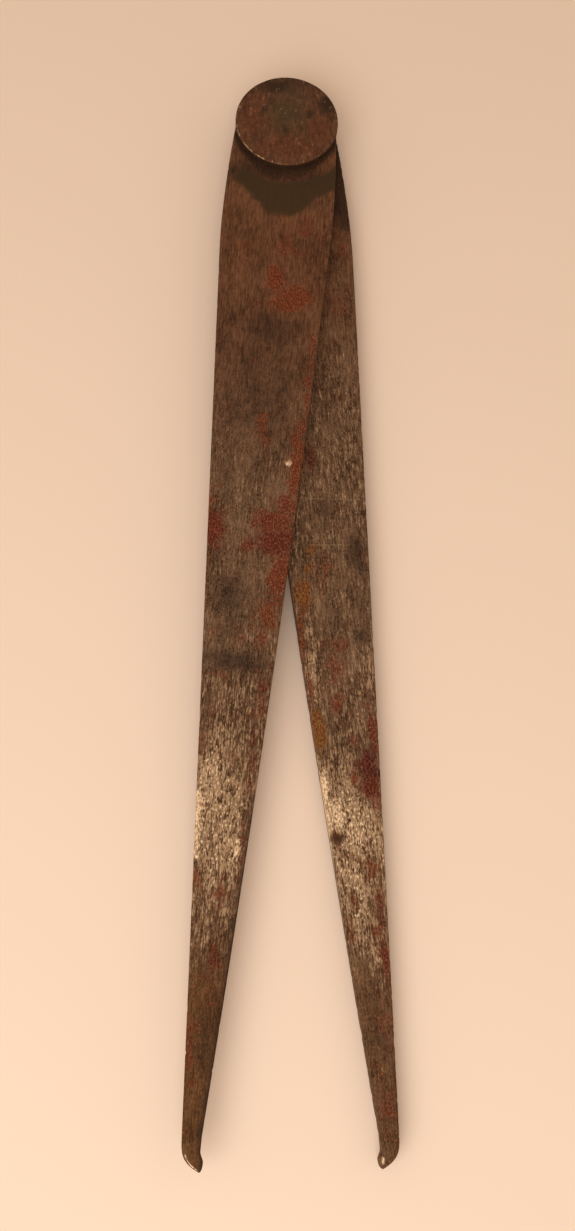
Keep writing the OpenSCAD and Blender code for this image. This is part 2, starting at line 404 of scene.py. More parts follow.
# %% Patches of the lower leg, in millimetres
LOWER_RUST = (
    (27.0, -8.8, 4.0, 1.0, 0.45, 0.60),
    (41.0, -6.5, 5.0, 2.4, 0.40, 0.58),
    (73.9, 1.9, 3.6, 1.2, 0.58, 0.72),
    (97.0, 2.0, 3.5, 3.0, 0.45, 0.45),
    (92.2, 3.7, 1.5, 1.0, 0.74, 0.20),
    (95.9, 4.7, 1.2, 1.0, 0.70, 0.18),
    (101.0, 6.2, 3.0, 1.6, 1.15, 0.24),
    (109.0, 7.2, 6.0, 0.9, 0.66, 0.42),
    (113.5, 1.0, 6.0, 2.8, 0.42, 0.55),
    (119.0, 6.6, 4.0, 0.9, 0.55, 0.45),
    (127.2, 5.8, 4.2, 1.4, 1.15, 0.20),
    (128.5, -4.2, 6.5, 1.1, 0.70, 0.68),
    (129.6, -0.9, 1.6, 1.6, 0.50, 0.60),
    (134.6, -2.6, 2.8, 2.4, 1.00, 0.86),
    (136.0, -5.0, 1.6, 0.8, 1.05, 1.00),
    (138.2, -2.8, 3.4, 2.2, 0.85, 0.72),
    (136.0, 0.0, 1.6, 0.8, 0.70, 0.52),
    (137.0, 0.2, 1.4, 0.8, 0.50, 0.40),
    (122.0, 2.0, 4.0, 2.4, 0.48, 0.52),
    (141.5, -3.4, 2.6, 1.4, 0.52, 0.50),
    (147.0, 4.6, 2.6, 0.7, 0.55, 0.55),
    (151.0, 1.6, 1.6, 1.4, 0.52, 0.40),
    (153.0, -1.2, 3.0, 1.8, 0.52, 0.42),
    (158.0, 2.8, 2.4, 0.9, 0.52, 0.46),
    (164.0, -0.8, 2.6, 1.2, 0.50, 0.48),
    (159.0, -2.0, 5.0, 0.9, 0.60, 0.66),
    (163.4, 3.8, 2.6, 0.9, 0.50, 0.50),
    (169.0, -2.0, 6.0, 0.9, 0.60, 0.68),
    (180.0, -1.0, 6.0, 1.2, 0.28, 0.60),
    (193.0, 0.4, 3.0, 1.6, 0.40, 0.60),
)
# The first two dark patches, along the back edge at the head, are partly dirt and partly a painted shade of
# the upper leg.
LOWER_DARK = (
    (12.0, -10.5, 10.0, 4.0, 1.50, 0),
    (20.0, -10.5, 6.0, 2.2, 0.80, 0),
    (84.0, 0.0, 3.0, 2.4, 0.45, 0),
    (93.5, -5.0, 4.5, 2.2, 0.72, 0),
    (104.0, -4.5, 4.0, 2.0, 0.40, 0),
    (106.0, 0.5, 3.0, 4.0, 0.30, 0),
    (110.0, -4.2, 2.2, 1.6, 0.66, 0),
    (136.0, -3.4, 2.0, 1.2, 0.55, 0),
    (147.2, 4.4, 0.9, 1.2, 0.90, 0),
    (175.0, 1.0, 5.0, 1.6, 0.30, 0),
    (183.0, 0.0, 3.0, 1.6, 0.35, 0),
)
# The first patch is a painted highlight on the nib's tip. The patches from 138 to 160 mm are partly rubbed
# steel and partly painted highlights and sheen of the lamp.
LOWER_BRIGHT = (
    (201.8, 2.3, 0.7, 0.40, 0.80, 0),
    (143.5, 4.2, 3.2, 1.5, 0.24, 0),
    (138.0, 5.6, 3.6, 0.7, 0.28, 0),
    (108.0, 5.6, 5.0, 1.6, 0.16, 0),
    (110.0, -6.6, 8.0, 1.2, 0.14, 0),
    (147.0, 1.0, 8.0, 3.0, 0.10, 0),
    (160.0, 2.0, 9.0, 2.6, 0.14, 0),
    (117.0, 6.0, 7.0, 1.4, 0.22, 0),
    (113.0, -4.6, 10.0, 1.6, 0.08, 0),
    (50.0, -6.0, 30.0, 3.4, 0.08, 0),
    (172.0, -0.5, 9.0, 2.4, 0.26, 0),
)
HIDDEN_SIDE = (
    (30.0, 4.0, 9.0, 4.0, 0.70, 0.55),
    (52.0, -5.0, 12.0, 3.0, 0.60, 0.50),
    (78.0, 3.0, 7.0, 5.0, 0.85, 0.65),
    (101.0, -3.0, 9.0, 2.5, 0.60, 0.45),
    (126.0, 2.5, 10.0, 2.0, 0.70, 0.60),
    (163.0, -1.0, 12.0, 2.0, 0.55, 0.55),
)
print("patches:", len(UPPER_RUST + UPPER_DARK + UPPER_BRIGHT), "and",
      len(LOWER_RUST + LOWER_DARK + LOWER_BRIGHT))

# %% [markdown]
# A patch is a bell: it is strongest in its middle and falls by the exponential of minus the
# squared distance, measured in its own half sizes. Where patches meet, the stronger one
# gives the value, and its tone comes along with it.


# %% Bells into attributes
def patch_field(patches, d, across):
    """Greatest bell at each point, and the tone of the patch that gives it."""
    rows = np.array(patches)
    shape = (-1,) + (1,) * d.ndim
    at, side, long, wide, strength, tone = (column.reshape(shape) for column in rows.T)
    bells = strength * np.exp(-((d / MM - at) / long) ** 2 - ((across / MM - side) / wide) ** 2)
    best = bells.argmax(0)
    return bells.max(0), rows[best, 5]


# %% Oil, rubbed steel and the leg's own fields
OIL_LINE = 13.8
OIL_DEPTH = 7.8
OIL_HALF = 6.0
RUBBED_R = 13.4
SCRATCHES = ((81.4, 5.7, 82.7, -6.5), (91.1, 4.2, 91.8, -3.8))
# The rise from 126 to 143 mm and the falls past 150 mm give the band with the most bare steel, partly real
# rubbing and partly a painted sheen of the lamp.
RUB_STEPS = ((30, 80, 0.28), (95, 122, 0.09), (126, 143, 0.14), (150, 166, -0.14), (164, 176, -0.22))


def oil_field(d, across):
    """The oil that crept out of the joint: past the circle that another disc rubbed, down to
    a line that hangs lowest in the middle of the leg."""
    x, run = across / MM, d / MM
    line = OIL_LINE + OIL_DEPTH / (1 + np.abs((x - 0.6) / OIL_HALF) ** 3.6)
    ragged = 1.6 * (hills(across, d, 2.2 * MM, 31) - 0.5)
    outside = step(np.hypot(x, run) - 3.0 * step(x, -7.5, -10), RUBBED_R - 0.9, RUBBED_R + 1.2)
    return outside * step(line + ragged - run, -1.2, 1.6)


def scratch_field(d, across):
    """Distance in mm from the nearer of two straight scratches, given by (d, across) at both
    ends, plus what a point lies beyond the ends. A mesh keeps such a field exactly."""
    far = np.full(d.shape, 9.0)
    for d0, x0, d1, x1 in SCRATCHES:
        run = math.hypot(d1 - d0, x1 - x0)
        along = ((d / MM - d0) * (d1 - d0) + (across / MM - x0) * (x1 - x0)) / run
        off = ((d / MM - d0) * (x1 - x0) - (across / MM - x0) * (d1 - d0)) / run
        beyond = np.maximum(0, np.abs(along - run / 2) - run / 2)
        far = np.where(np.abs(off) < np.abs(far), off + np.sign(off) * beyond, far)
    return far


def rubbed(d):
    """How much bare steel shows along a leg: a sum of smooth steps up and down. The band past 126 mm also
    carries a painted sheen of the lamp.
    """
    return sum(height * step(d / MM, start, end) for start, end, height in RUB_STEPS)


def leg_attributes(grid, seed, rust, dark, bright, rub_and_highlight_span, greys):
    """Every field that the leg's material reads, worked out from the blank's own points. The
    inner edge is rubbed bright, with a painted highlight on its bevel, along the stretch
    rub_and_highlight_span, by exp(-distance / 0.22 mm). On the upper leg a painted shade lies
    along the inner edge from about 140 mm to the tip, and the back of each tip carries a
    painted glint. The field `bare` goes from smooth red brown near the joint (0) to grainy
    grey brown (1) over the stretch greys, and `toe` from 0 to 1 where the toes turn olive brown."""
    x, y, z = np.moveaxis(grid, 2, 0)
    d, on_top = -y, z > LEG_T / 2
    rust_top, tone_top = patch_field(rust, d, x)
    rust_top = rust_top + 0.10 * step(d / MM, 160, 178)
    rust_low, tone_low = patch_field(HIDDEN_SIDE, d, x * (1 if seed % 2 else -1))
    to_inner = np.clip(inner_edge(np.clip(d, 0, TIP_FROM)) - x, 0, None)
    start, end = rub_and_highlight_span
    # The inner edge is rubbed bright, and a painted highlight lies on its bevel.
    line = np.exp(-to_inner / (0.22 * MM)) * step(d / MM, start, start + 4) * step(-d / MM, -end, 4 - end)
    to_back = np.clip(x - back_edge(np.clip(d, 0, REACH)), 0, None)
    # A painted glint along the back of each tip.
    tip = np.exp(-((to_back / MM - 0.45) / 0.22) ** 2) * step(d / MM, 200, 201)
    # A painted shade along the upper leg's inner edge towards the toe, added to the stains.
    shade = np.exp(-to_inner / (0.6 * MM)) * step(d / MM, 134, 148) * (seed % 2)
    stain_and_shade_top = patch_field(dark, d, x)[0] + 0.15 * step(d / MM, 160, 176) + 0.9 * shade
    shine = rubbed(d) + patch_field(bright, d, x)[0] - 0.45 * stain_and_shade_top - 0.25 * rust_top
    shine = shine + 0.30 * line + (0.66 if seed % 2 else 0.34) * tip
    return {
        "place": np.dstack([x, y, z + 0.013 * seed]),
        "rust": np.where(on_top, rust_top, rust_low),
        "tone": np.where(on_top, tone_top, tone_low),
        "dark": np.where(on_top, stain_and_shade_top, 0.3),
        "bright": np.where(on_top, shine, 0.5 * rubbed(d)),
        "bare": step(d / MM, *greys),
        "toe": step(d / MM, 156, 178) * (1.0 if seed % 2 else 0.6),
    }


print("oil at 17 and 25 mm:", oil_field(np.array([0.017, 0.025]), np.array([0.0, 0.0])).round(2))


# %% [markdown]
# ## Laying the two legs in place
# The upper leg turns by half the opening and lies at its height in the stack. The lower leg
# is mirrored first, because it is the same blank turned over. The points themselves move,
# so each object stays at the origin, as the CAD nodes do.

# %% Both legs
def laid(grid, node, side):
    """The blank's points at a node's height, mirrored for side -1, turned by half the opening."""
    x, y, z = np.moveaxis(grid, 2, 0)
    c, s = math.cos(HALF_OPENING), -math.sin(HALF_OPENING) * side
    x = x * side
    return np.dstack([c * x - s * y, s * x + c * y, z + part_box(node)[0].z])


def leg_faces():
    """Cells round the whole profile, and the wall of the bore where rays end on its circle."""
    rows, columns = len(OUTLINE), 2 * (FACE_RINGS + CORNER_STEPS + 1) + WALL_STEPS
    i = np.flatnonzero(ON_BORE & np.roll(ON_BORE, -1))
    i1 = (i + 1) % rows
    wall = np.stack([i * columns, i1 * columns, (i1 + 1) * columns - 1, (i + 1) * columns - 1], 1)
    return np.concatenate([grid_faces(rows, columns, True, False), wall])


def build_leg(name, node, body, side, seed, rust, dark, bright, rub_and_highlight_span, greys, oil):
    grid = blank_grid(seed)
    fields = leg_attributes(grid, seed, rust, dark, bright, rub_and_highlight_span, greys)
    top = grid[..., 2] > LEG_T / 2
    fields["scratch"] = np.where(top & (side < 0), scratch_field(-grid[..., 1], grid[..., 0]), 9)
    # A painted shadow of the upper disc's rim: a dark ring on the upper leg just round the disc.
    disc_rim_shadow = np.exp(-((np.hypot(grid[..., 0], grid[..., 1]) / MM - 10.7) / 0.8) ** 2)
    fields["dark"] = fields["dark"] + np.where(top, 1.1 * oil * disc_rim_shadow, 0)
    fields["oil"] = np.where(top, oil_field(-grid[..., 1], grid[..., 0]) * oil, 0)
    piece = make_piece(name, laid(grid, node, side), leg_faces(), fields)
    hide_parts(node)
    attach(piece, body)
    return piece


leg_over = build_leg("leg_over", "upper_leg", "upper_leg", 1, 11,
                     UPPER_RUST, UPPER_DARK, UPPER_BRIGHT, (6, 40), (30, 90), 1.0)
leg_under = build_leg("leg_under", "lower_leg", "root", -1, 24,
                      LOWER_RUST, LOWER_DARK, LOWER_BRIGHT, (124, 152), (6, 76), 0.0)

# %% [markdown]
# ## The joint: two turned discs and a rivet
# The discs came off a lathe and the rivet was hammered into their countersinks and dressed
# flush, so all three are profiles turned round the pivot. The faces get the same slow waves
# as the legs, the rims are rubbed round, and a hair's groove shows where the rivet ends.

# %% Turned pieces
TURN_STEPS = 160
DISC_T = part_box("upper_disc")[1].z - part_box("upper_disc")[0].z
RIVET_R = 3.0 * MM
RIVET_END_R = 4.0 * MM
RIM_ROUND = 0.4 * MM
SEAM = 0.04 * MM
FACE_DISH = 0.05 * MM
upper_in, upper_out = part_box("upper_disc")[0].z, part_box("upper_disc")[1].z
lower_out, lower_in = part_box("lower_disc")[0].z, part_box("lower_disc")[1].z


def arc(centre, radius, start, end, steps):
    """Points on a circle in the (radius, height) plane, from one angle to another in degrees."""
    turn = np.radians(np.linspace(start, end, steps))
    return np.stack([centre[0] + radius * np.cos(turn), centre[1] + radius * np.sin(turn)], 1)


def turned_grid(profile, seed, outer_z, facing, worn_r):
    """The profile turned round Z. Points on the outer face sink by random waves, and the
    rim is rubbed in a little here and there."""
    angle = np.linspace(0, 2 * math.pi, TURN_STEPS, endpoint=False)[:, None]
    r, z = profile[None, :, 0] + 0 * angle, profile[None, :, 1] + 0 * angle
    rub = step(hills(np.cos(angle) + 3, np.sin(angle) + 3, 0.28, seed), 0.6, 1) * 0.10 * MM
    r = r - rub * step(r, worn_r - 0.3 * MM, worn_r)
    x, y = r * np.cos(angle), r * np.sin(angle)
    face = step(-facing * (outer_z - z) / MM, -0.25, -0.01)
    sink = FACE_DISH * (0.6 * hills(x, y, 4.5 * MM, seed + 1) + 0.4 * hills(x, y, 1.7 * MM, seed + 2))
    return np.dstack([x, y, z - facing * face * sink])


# %% Marks on the joint, in millimetres: y, x, tall, wide, strength
JOINT_DARK = (
    (-2.4, -0.4, 1.0, 0.9, 0.75, 0),
    (1.9, 4.8, 1.3, 1.1, 0.80, 0),
    (2.5, -4.7, 1.2, 1.0, 0.55, 0),
    (8.2, -2.5, 2.2, 4.4, 0.80, 0),
    (4.2, 8.4, 2.6, 2.0, 1.05, 0),
    (8.8, 3.0, 1.6, 3.4, 0.55, 0),
    (4.5, -3.0, 1.6, 1.6, 0.40, 0),
)
JOINT_GREY = (
    (2.4, 0.0, 5.4, 4.8, 0.95, 0),
    (-0.8, -1.9, 1.4, 1.4, 0.70, 0),
    (7.0, -0.5, 3.0, 5.4, 0.75, 0),
)
JOINT_RUST = (
    (-6.4, 0.5, 3.4, 7.0, 1.00, 0.56),
    (0.0, -7.2, 5.0, 3.2, 0.95, 0.60),
    (-2.6, 6.4, 4.0, 3.2, 0.95, 0.58),
    (5.4, -6.0, 2.6, 2.6, 0.70, 0.62),
)
# Where the painted highlight on the upper disc's rim lies, in degrees round the pivot, and its spread.
RIM_LIGHT_ANGLE = -148
RIM_LIGHT_SPREAD = 24


def joint_attributes(grid, upper):
    """Fields of a disc or the rivet. The upper side has its marks. Everything below the top face,
    the wall and the lower disc, is dark, a painted shade with some dirt. The rim's corner is
    rubbed bright a little here and there, and one stretch carries a painted highlight: a bell
    across the corner times a bell in angle."""
    x, y, z = np.moveaxis(grid, 2, 0)
    below = (upper_out - z) / MM
    facing = step(below, 0.45, 0.22)
    rust, tone = patch_field(JOINT_RUST, y, x)
    angle = np.degrees(np.arctan2(y, x))
    corner = np.exp(-((below - 0.14) / 0.09) ** 2) * step(np.hypot(x, y), DISC_R - MM, DISC_R - 0.5 * MM)
    # A painted highlight on the rim at RIM_LIGHT_ANGLE, over a little rubbing all round.
    highlight_bow = np.exp(-((angle - RIM_LIGHT_ANGLE) / RIM_LIGHT_SPREAD) ** 2)
    worn = hills(angle / 4, 0 * angle, 1.0, 77) * (0.35 + highlight_bow)
    border = 0.6 * np.exp(-((np.hypot(x, y) / MM - 10.5) / 0.8) ** 2) * step(y / MM, -2, 5)
    return {
        "place": grid + [0, 0, 0 if upper else 0.3],
        # The wall and all below the top face get the dark colour as painted shade, with some dirt.
        "dark": np.maximum(patch_field(JOINT_DARK, y, x)[0], border) * facing + 1.1 * (1 - facing),
        "grey": patch_field(JOINT_GREY, y, x)[0] * facing,
        "rust": rust * facing,
        "tone": tone + 0 * x,
        "bright": np.where(upper, corner * worn, 0),
    }


def build_turned(name, node, profile, seed, outer_z, facing, closed=True):
    grid = turned_grid(profile, seed, outer_z, facing, profile[:, 0].max())
    fields = joint_attributes(grid, facing > 0)
    faces = grid_faces(grid.shape[0], grid.shape[1], True, closed)
    piece = make_piece(name, grid, faces, fields)
    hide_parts(node)
    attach(piece, "root")
    return piece


def disc_profile(z_in, z_out, rim):
    """Round the section of a disc: inner face, rubbed rim, outer face, countersink."""
    way = 1 if z_out > z_in else -1
    r = np.linspace(RIVET_R, DISC_R, 10)
    face = np.linspace(DISC_R - rim, RIVET_END_R + SEAM, 22)[1:]
    corner = arc((DISC_R - rim, 0), rim, 0, 90, 7)
    corner[:, 1] = z_out + way * (corner[:, 1] - rim)
    return np.concatenate([
        np.stack([r, 0 * r + z_in], 1),
        corner,
        np.stack([face, 0 * face + z_out], 1),
        [[RIVET_END_R, z_out - way * SEAM]],
    ])


disc_over = build_turned("disc_over", "upper_disc", disc_profile(upper_in, upper_out, RIM_ROUND),
                         41, upper_out, 1)
disc_under = build_turned("disc_under", "lower_disc", disc_profile(lower_in, lower_out, RIM_ROUND),
                          47, lower_out, -1)

# %% The rivet
r_end = np.linspace(0, RIVET_END_R - SEAM, 12)
shank_z = np.linspace(lower_in, upper_in, 12)
rivet_profile = np.concatenate([
    np.stack([r_end, 0 * r_end + lower_out], 1),
    [[RIVET_END_R, lower_out + SEAM]],
    np.stack([0 * shank_z + RIVET_R, shank_z], 1),
    [[RIVET_END_R, upper_out - SEAM]],
    np.stack([r_end[::-1], 0 * r_end + upper_out], 1),
])
rivet = build_turned("rivet_flush", "rivet", rivet_profile, 53, upper_out, 1, False)

# %% [markdown]
# ## Materials: small tools first
# A material is a net of nodes. Two helpers keep it short: one adds a node and fills its
# inputs, with a value or with a link from another node, and one makes a node group with
# named sockets, so that an effect is built once and used by several materials.


# %% Node helpers
def fill(tree, made, inputs):
    """Gives each named or numbered input its value, or links it from a socket."""
    for key, value in inputs.items():
        socket = made.inputs[key]
        if isinstance(value, bpy.types.NodeSocket):
            tree.links.new(value, socket)
        else:
            socket.default_value = value
    return made


def add(tree, kind, inputs, **settings):
    made = tree.nodes.new("ShaderNode" + kind)
    for key, value in settings.items():
        setattr(made, key, value)
    return fill(tree, made, inputs)


def sums(tree, operation, a, b=0.0, clamp=False):
    return add(tree, "Math", {0: a, 1: b}, operation=operation, use_clamp=clamp).outputs[0]


def ease(tree, value, start, end):
    """A smooth step of a value from 0 at start to 1 at end."""
    return add(tree, "MapRange", {"Value": value, "From Min": start, "From Max": end},
               interpolation_type="SMOOTHSTEP").outputs["Result"]


def blend(tree, share, below, above, mode="MIX"):
    """A colour over another by a share from 0 to 1."""
    made = add(tree, "Mix", {0: share, 6: below, 7: above}, data_type="RGBA", blend_type=mode)
    return made.outputs[2]


def noise(tree, place, scale, detail=3.0, roughness=0.55, distortion=0.0):
    made = add(tree, "TexNoise", {"Vector": place, "Scale": scale, "Detail": detail,
                                  "Roughness": roughness, "Distortion": distortion})
    return made.outputs["Fac"]


def stretch(tree, place, factors):
    return add(tree, "VectorMath", {0: place, 1: factors}, operation="MULTIPLY").outputs[0]


def colour(red, green, blue):
    """A colour as seen on a screen, from 0 to 255, turned into linear light for the shader."""
    seen = np.array([red, green, blue]) / 255
    linear = np.where(seen <= 0.04045, seen / 12.92, ((seen + 0.055) / 1.055) ** 2.4)
    return (*linear.tolist(), 1.0)


def group(name, inputs, outputs):
    """A node group with named sockets: inputs as {name: start value}, outputs as {name: kind}."""
    tree = bpy.data.node_groups.new(name, "ShaderNodeTree")
    kinds = {float: "NodeSocketFloat", tuple: "NodeSocketColor", type(None): "NodeSocketVector"}
    for label, value in inputs.items():
        socket = tree.interface.new_socket(name=label, in_out="INPUT", socket_type=kinds[type(value)])
        if value is not None:
            socket.default_value = value
    for label, kind in outputs.items():
        tree.interface.new_socket(name=label, in_out="OUTPUT", socket_type="NodeSocket" + kind)
    return tree, tree.nodes.new("NodeGroupInput").outputs, tree.nodes.new("NodeGroupOutput")


print("brown of the legs in linear light:", [round(v, 3) for v in colour(95, 65, 45)[:3]])

# %% [markdown]
# ## Effect 1: the grain of old steel
# Seen close, browned steel is a mosaic: grains a quarter of a millimetre wide and twice as
# long, because the file ran along the leg, with flecks and clouds at larger sizes under
# them. Each layer is noise read at a place that was squeezed along the leg.

# %% Group: grain
grain, has, gives = group(
    "grain", {"Place": None, "Grains per metre": 4200.0},
    {"Grit": "Float", "Flecks": "Float", "Streaks": "Float", "Clouds": "Float"})
grit = noise(grain, stretch(grain, has["Place"], (1.0, 0.46, 1.0)), has["Grains per metre"], 1.0, 0.5)
flecks = noise(grain, stretch(grain, has["Place"], (1.0, 0.65, 1.0)), 1000.0, 4.0, 0.65, 0.6)
streaks = noise(grain, stretch(grain, has["Place"], (1.0, 0.13, 0.5)), 3800.0, 1.0, 0.5)
clouds = noise(grain, stretch(grain, has["Place"], (1.0, 0.60, 1.0)), 210.0, 4.0, 0.6)
fill(grain, gives, {"Grit": grit, "Flecks": flecks, "Streaks": streaks, "Clouds": clouds})

# %% [markdown]
# ## Effect 2: brown patina
# Old oil and handling turn steel brown, dark in the pits and lighter on the grains. The
# group weighs the four noises and blends a dark and a light brown by the sum.

# %% Group: brown patina
patina, has, gives = group(
    "brown_patina",
    {"Dark": (0.03, 0.015, 0.01, 1.0), "Light": (0.1, 0.06, 0.04, 1.0), "Grit": 0.5, "Flecks": 0.5,
     "Streaks": 0.5, "Clouds": 0.5, "Contrast": 1.0},
    {"Color": "Color"})
PATINA_WEIGHTS = {"Grit": 0.36, "Flecks": 0.14, "Streaks": 0.27, "Clouds": 0.26}
share = 0.0
for label, weight in PATINA_WEIGHTS.items():
    share = sums(patina, "ADD", sums(patina, "MULTIPLY", has[label], weight), share)
share = sums(patina, "MULTIPLY", sums(patina, "SUBTRACT", share, 0.515), has["Contrast"])
share = ease(patina, share, -0.14, 0.14)
fill(patina, gives, {"Color": blend(patina, share, has["Dark"], has["Light"])})

# %% [markdown]
# ## Effect 3: bare steel
# Where the tool is rubbed, the high grains show bare metal between brown pits. The amount,
# from 0 to 1, lifts the noise over its threshold, so more grains turn bright. The legs and the
# upper disc's rim also use it for painted highlights and sheen.

# %% Group: bare steel
bare, has, gives = group(
    "bare_steel", {"Place": None, "Amount": 0.3, "Flecks": 0.5, "Streaks": 0.5},
    {"Mask": "Float", "Color": "Color"})
DIM_STEEL = colour(106, 79, 55)
DULL_STEEL = colour(160, 129, 98)
CLEAN_STEEL = colour(240, 208, 168)
beside = add(bare, "VectorMath", {0: has["Place"], 1: (0.37, 0.21, 0.0)}, operation="ADD").outputs[0]
dashes = noise(bare, stretch(bare, beside, (1.0, 0.34, 1.0)), 4400.0, 1.0, 0.5)
glints = noise(bare, stretch(bare, has["Place"], (1.0, 0.50, 1.0)), 3000.0, 2.0, 0.5)
level = sums(bare, "ADD", sums(bare, "MULTIPLY", dashes, 0.55), sums(bare, "MULTIPLY", has["Flecks"], 0.65))
level = sums(bare, "ADD", level, sums(bare, "MULTIPLY", has["Streaks"], 0.25))
level = sums(bare, "ADD", level, sums(bare, "MULTIPLY", has["Amount"], 0.45))
clean = sums(bare, "ADD", glints, sums(bare, "MULTIPLY", sums(bare, "SUBTRACT", has["Amount"], 0.62), 0.8))
dull = sums(bare, "MULTIPLY", sums(bare, "SUBTRACT", has["Amount"], 0.42), 0.6)
dull = sums(bare, "ADD", has["Streaks"], dull)
steel = blend(bare, ease(bare, dull, 0.36, 0.62), DIM_STEEL, DULL_STEEL)
steel = blend(bare, ease(bare, clean, 0.42, 0.70), steel, CLEAN_STEEL)
fill(bare, gives, {"Mask": ease(bare, level, 0.84, 1.00), "Color": steel})

# %% [markdown]
# ## Effect 4: rust
# Light surface rust lies in ragged blooms, and the steel's grain still shows through it. The
# amount says where, noise eats its border, and the tone picks the colour from ochre over
# orange and brick to maroon.

# %% Group: rust bloom
SPECK = (0.36, 0.32, 0.32, 1.0)
SPARK = colour(164, 96, 64)
rusty, has, gives = group(
    "rust_bloom", {"Place": None, "Amount": 0.0, "Tone": 0.5, "Grit": 0.5},
    {"Mask": "Float", "Color": "Color", "Height": "Float"})
ragged = noise(rusty, has["Place"], 420.0, 5.0, 0.65)
crumbs = noise(rusty, stretch(rusty, has["Place"], (1.0, 0.7, 1.0)), 2300.0, 2.0, 0.6)
edge = sums(rusty, "ADD", has["Amount"], sums(rusty, "MULTIPLY", sums(rusty, "SUBTRACT", ragged, 0.5), 1.5))
edge = sums(rusty, "ADD", edge, sums(rusty, "MULTIPLY", sums(rusty, "SUBTRACT", crumbs, 0.5), 1.1))
tone = sums(rusty, "ADD", has["Tone"], sums(rusty, "MULTIPLY", sums(rusty, "SUBTRACT", crumbs, 0.5), 1.0))
ramp = add(rusty, "ValToRGB", {"Fac": tone})
RUST_TONES = ((0.05, colour(158, 106, 40)), (0.35, colour(146, 82, 42)), (0.60, colour(134, 58, 36)),
              (0.80, colour(110, 40, 28)), (1.00, colour(74, 26, 30)))
ramp.color_ramp.elements[0].position, ramp.color_ramp.elements[0].color = RUST_TONES[0]
ramp.color_ramp.elements[1].position, ramp.color_ramp.elements[1].color = RUST_TONES[-1]
for position, shade in RUST_TONES[1:-1]:
    ramp.color_ramp.elements.new(position).color = shade
speckled = blend(rusty, ease(rusty, has["Grit"], 0.68, 0.38), ramp.outputs["Color"], SPECK, "MULTIPLY")
speckled = blend(rusty, ease(rusty, crumbs, 0.62, 0.74), speckled, SPARK)
through = ease(rusty, has["Grit"], 0.74, 0.50)
through = sums(rusty, "ADD", sums(rusty, "MULTIPLY", through, 0.32), 0.54)
mask = sums(rusty, "MULTIPLY", ease(rusty, edge, 0.10, 0.80), through)
fill(rusty, gives, {"Mask": mask, "Color": speckled, "Height": crumbs})
print("node groups:", sorted(g.name for g in bpy.data.node_groups))


# %% [markdown]
# ## The steel of the legs
# The layers go on in the order in which they came to the tool: brown patina, bare steel
# where it is rubbed off, with painted highlights and sheen, dark patches of stain and painted
# shade, rust, and the fresh oil that crept out of the joint.
# Each layer carries its own roughness and metal, and one bump node has the fine relief.

# %% Leg steel
def start_material(name):
    material = bpy.data.materials.new(name)
    material.use_nodes = True
    tree = material.node_tree
    tree.nodes.clear()
    shader = tree.nodes.new("ShaderNodeBsdfPrincipled")
    output = tree.nodes.new("ShaderNodeOutputMaterial")
    tree.links.new(shader.outputs["BSDF"], output.inputs["Surface"])
    return material, tree, shader


def use(tree, made_group, inputs):
    made = tree.nodes.new("ShaderNodeGroup")
    made.node_tree = made_group
    return fill(tree, made, inputs).outputs


def attribute(tree, name, kind="Fac"):
    return add(tree, "Attribute", {}, attribute_name=name).outputs[kind]


def over(tree, share, layers):
    """Lays one layer over another: pairs of (below, above) numbers mixed by the share."""
    return [add(tree, "Mix", {0: share, 2: low, 3: high}).outputs[0] for low, high in layers]


def soft_mask(tree, amount, uneven, strength):
    """An attribute's border made uneven by noise, then eased and weakened."""
    rough = sums(tree, "MULTIPLY", sums(tree, "SUBTRACT", uneven, 0.5), 0.9)
    return sums(tree, "MULTIPLY", ease(tree, sums(tree, "ADD", amount, rough), 0.08, 0.95), strength)


RED_BROWN = (colour(60, 36, 21), colour(125, 82, 55))
GREY_BROWN = (colour(50, 30, 15), colour(131, 99, 73))
RUBBED_BROWN = (colour(58, 35, 17), colour(112, 80, 53))
TOE_BROWN = (colour(58, 35, 16), colour(114, 77, 44))
# The dark colour of stains, also laid where shade is painted.
STAIN_AND_SHADE = colour(46, 32, 22)
OIL = colour(60, 44, 25)
RELIEF = 0.03 * MM


